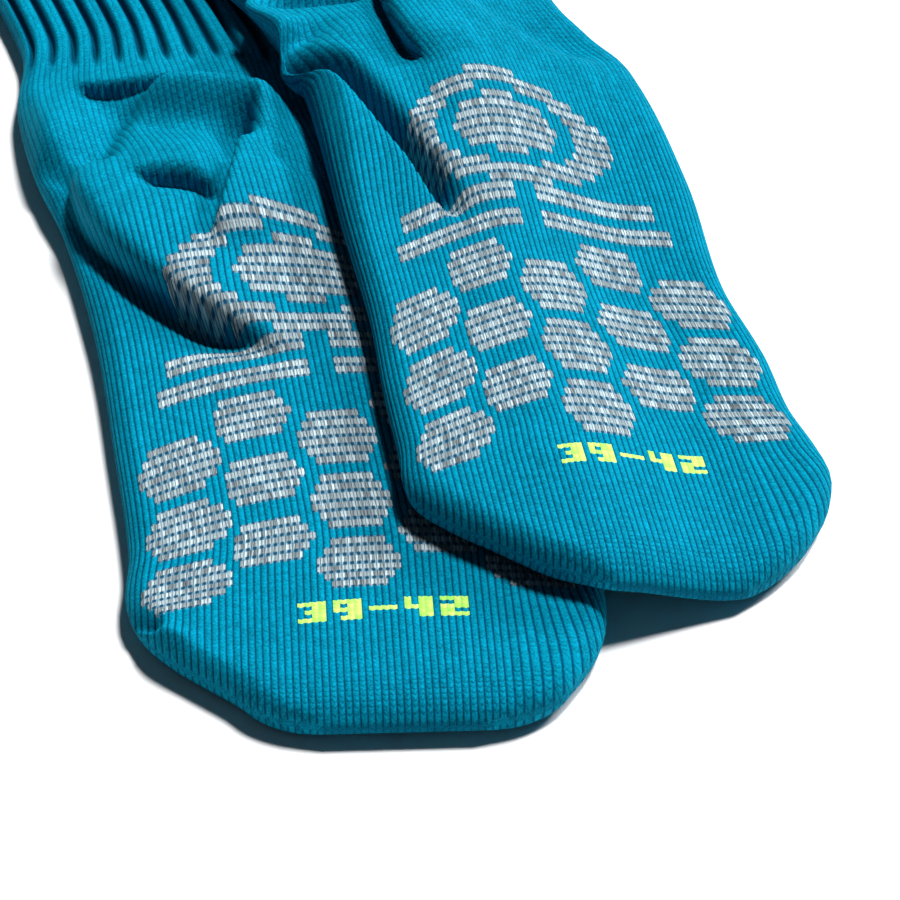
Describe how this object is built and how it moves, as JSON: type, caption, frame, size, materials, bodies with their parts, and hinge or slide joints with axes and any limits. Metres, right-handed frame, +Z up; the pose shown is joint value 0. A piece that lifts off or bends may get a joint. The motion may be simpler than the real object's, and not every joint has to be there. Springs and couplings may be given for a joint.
{
  "type": "pair of football socks",
  "caption": "Pair of knee-high knitted football socks laid flat with the soles up, one half over the other, with plush feet, heel pockets, ribbed legs and open welts.",
  "frame": {"origin": "on the table under the middle of the pair's box", "axes": "+Y from the toes along the socks towards the open welts, +X to the right seen from the toes, +Z up from the table"},
  "size_m": [0.3263, 0.5934, 0.0357],
  "materials": {
    "knit_teal": "matte ribbed plush knit in teal polyamide, with grip pads of grey melange yarn and figures in neon yellow-green"
  },
  "bodies": {
    "root": {"sock_lower": "knit_teal", "sock_upper": "knit_teal"}
  },
  "joints": []
}
